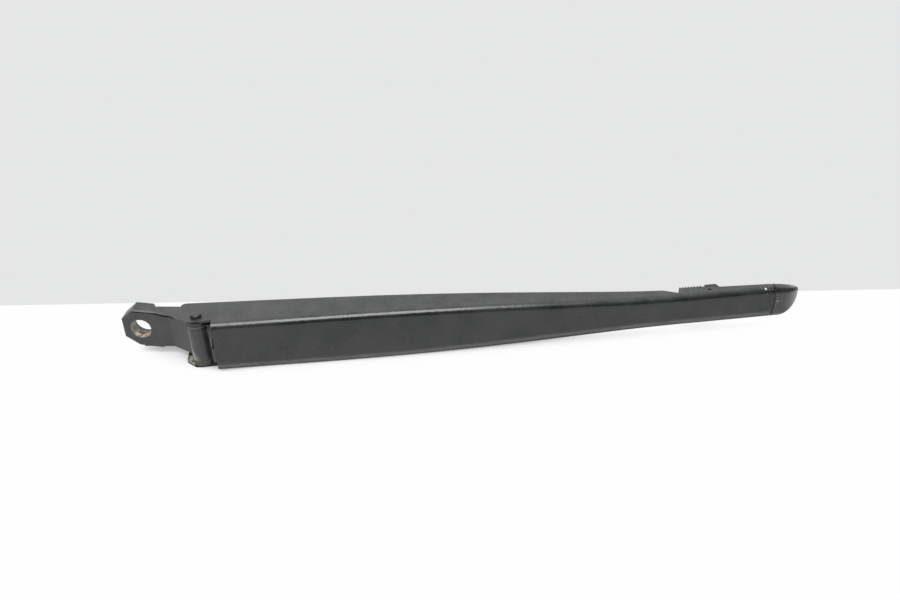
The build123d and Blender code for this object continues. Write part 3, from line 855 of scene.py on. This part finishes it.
def wall():
    """Pale board behind the arm, seen from its front only."""
    run = WALL_RIGHT - WALL_LEFT
    middle = (WALL_LEFT + WALL_RIGHT) / 2.0
    bpy.ops.object.select_all(action="DESELECT")
    bpy.ops.mesh.primitive_plane_add(size=1.0)
    board = bpy.context.object
    board.name = "wall"
    place = Matrix.Translation((middle.x, middle.y, BENCH_TOP + WALL_HEIGHT / 2.0))
    place = place @ Matrix.Rotation(math.atan2(run.y, run.x), 4, "Z") @ Matrix.Rotation(math.pi / 2.0, 4, "X")
    board.data.transform(place @ Matrix.Diagonal((WALL_LENGTH, WALL_HEIGHT, 1.0, 1.0)))
    finish, tree, shader = matt_stage("pale_board", rgb(0.78, 0.78, 0.78))
    front = glow_for_sight(tree, shader, rgb(0.785, 0.79, 0.79), 1.0)
    clear = new_node(tree, "ShaderNodeBsdfTransparent")
    sided = new_node(tree, "ShaderNodeMixShader")
    tree.links.new(new_node(tree, "ShaderNodeNewGeometry").outputs["Backfacing"], sided.inputs["Fac"])
    tree.links.new(front, sided.inputs[1])
    tree.links.new(clear.outputs["BSDF"], sided.inputs[2])
    tree.links.new(sided.outputs["Shader"], tree.nodes["Material Output"].inputs["Surface"])
    board.data.materials.append(finish)
    board.visible_shadow = False


def soft_box(name, place, aim, width, depth, level):
    """Area lamp of an even brightness, where level 1 would look white."""
    lamp = bpy.data.lights.new(name, "AREA")
    lamp.shape = "RECTANGLE"
    lamp.size = width
    lamp.size_y = depth
    lamp.energy = level * math.pi * width * depth
    holder = bpy.data.objects.new(name, lamp)
    holder.location = place
    holder.rotation_euler = (Vector(aim) - Vector(place)).to_track_quat("-Z", "Y").to_euler()
    bpy.context.scene.collection.objects.link(holder)


def room_light(level):
    world = bpy.data.worlds.new("room")
    bpy.context.scene.world = world
    world.use_nodes = True
    backing = world.node_tree.nodes["Background"]
    backing.inputs["Color"].default_value = rgb(level, level, level)


def camera():
    flat = math.cos(CAMERA_PITCH)
    ahead = Vector((math.sin(CAMERA_YAW) * flat, math.cos(CAMERA_YAW) * flat, -math.sin(CAMERA_PITCH)))
    level = Vector((math.cos(CAMERA_YAW), -math.sin(CAMERA_YAW), 0.0))
    above = level.cross(ahead)
    right = math.cos(CAMERA_ROLL) * level + math.sin(CAMERA_ROLL) * above
    top = math.cos(CAMERA_ROLL) * above - math.sin(CAMERA_ROLL) * level
    view = bpy.data.cameras.new("bench_camera")
    view.lens = CAMERA_LENS
    view.sensor_width = CAMERA_SENSOR
    view.clip_start = 0.01
    holder = bpy.data.objects.new("bench_camera", view)
    turned = Matrix((right, top, -ahead)).transposed().to_4x4()
    holder.matrix_world = Matrix.Translation(CAMERA_PLACE) @ turned
    bpy.context.scene.collection.objects.link(holder)
    bpy.context.scene.camera = holder


paint = black_paint()
casting = black_cast()
pin_steel = spring_steel("pin_steel", rgb(0.10, 0.10, 0.10), rgb(0.22, 0.21, 0.20))
coil_steel = spring_steel("coil_steel", rgb(0.07, 0.07, 0.075), rgb(0.16, 0.16, 0.16))
cap_finish = cap_plastic()
clip_plastic = black_plastic("clip_plastic", rgb(0.020, 0.021, 0.021), rgb(0.034, 0.033, 0.032), 0.42, 0.55)
bush_plastic = black_plastic("bush_plastic", rgb(0.040, 0.042, 0.042), rgb(0.070, 0.070, 0.068), 0.34, 0.46)

NODE_FINISHES = {
    "arm_channel": paint,
    "hinge_pin": paint,
    "mounting_head": casting,
    "hinge_bush_upper": clip_plastic,
    "hinge_bush_lower": bush_plastic,
    "spring_pin": pin_steel,
    "spring_hook": pin_steel,
    "spring_anchor": pin_steel,
    "blade_pin": pin_steel,
    "tension_spring": coil_steel,
    "blade_clip": clip_plastic,
    "tip_cap": cap_finish,
}
for node_name, node_finish in NODE_FINISHES.items():
    for holder in frame["nodes"][node_name].material_slots:
        holder.material = node_finish

round_wire_spring().data.materials.append(coil_steel)
seam_flakes().data.materials.append(flake_paint())
primer_chip().data.materials.append(primer())

bench()
wall()
soft_box("overhead_box", LAMP_PLACE, LAMP_AIM, LAMP_WIDTH, LAMP_DEPTH, LAMP_LEVEL)
room_light(ROOM_LEVEL)
camera()
bpy.context.scene.view_settings.view_transform = "Standard"
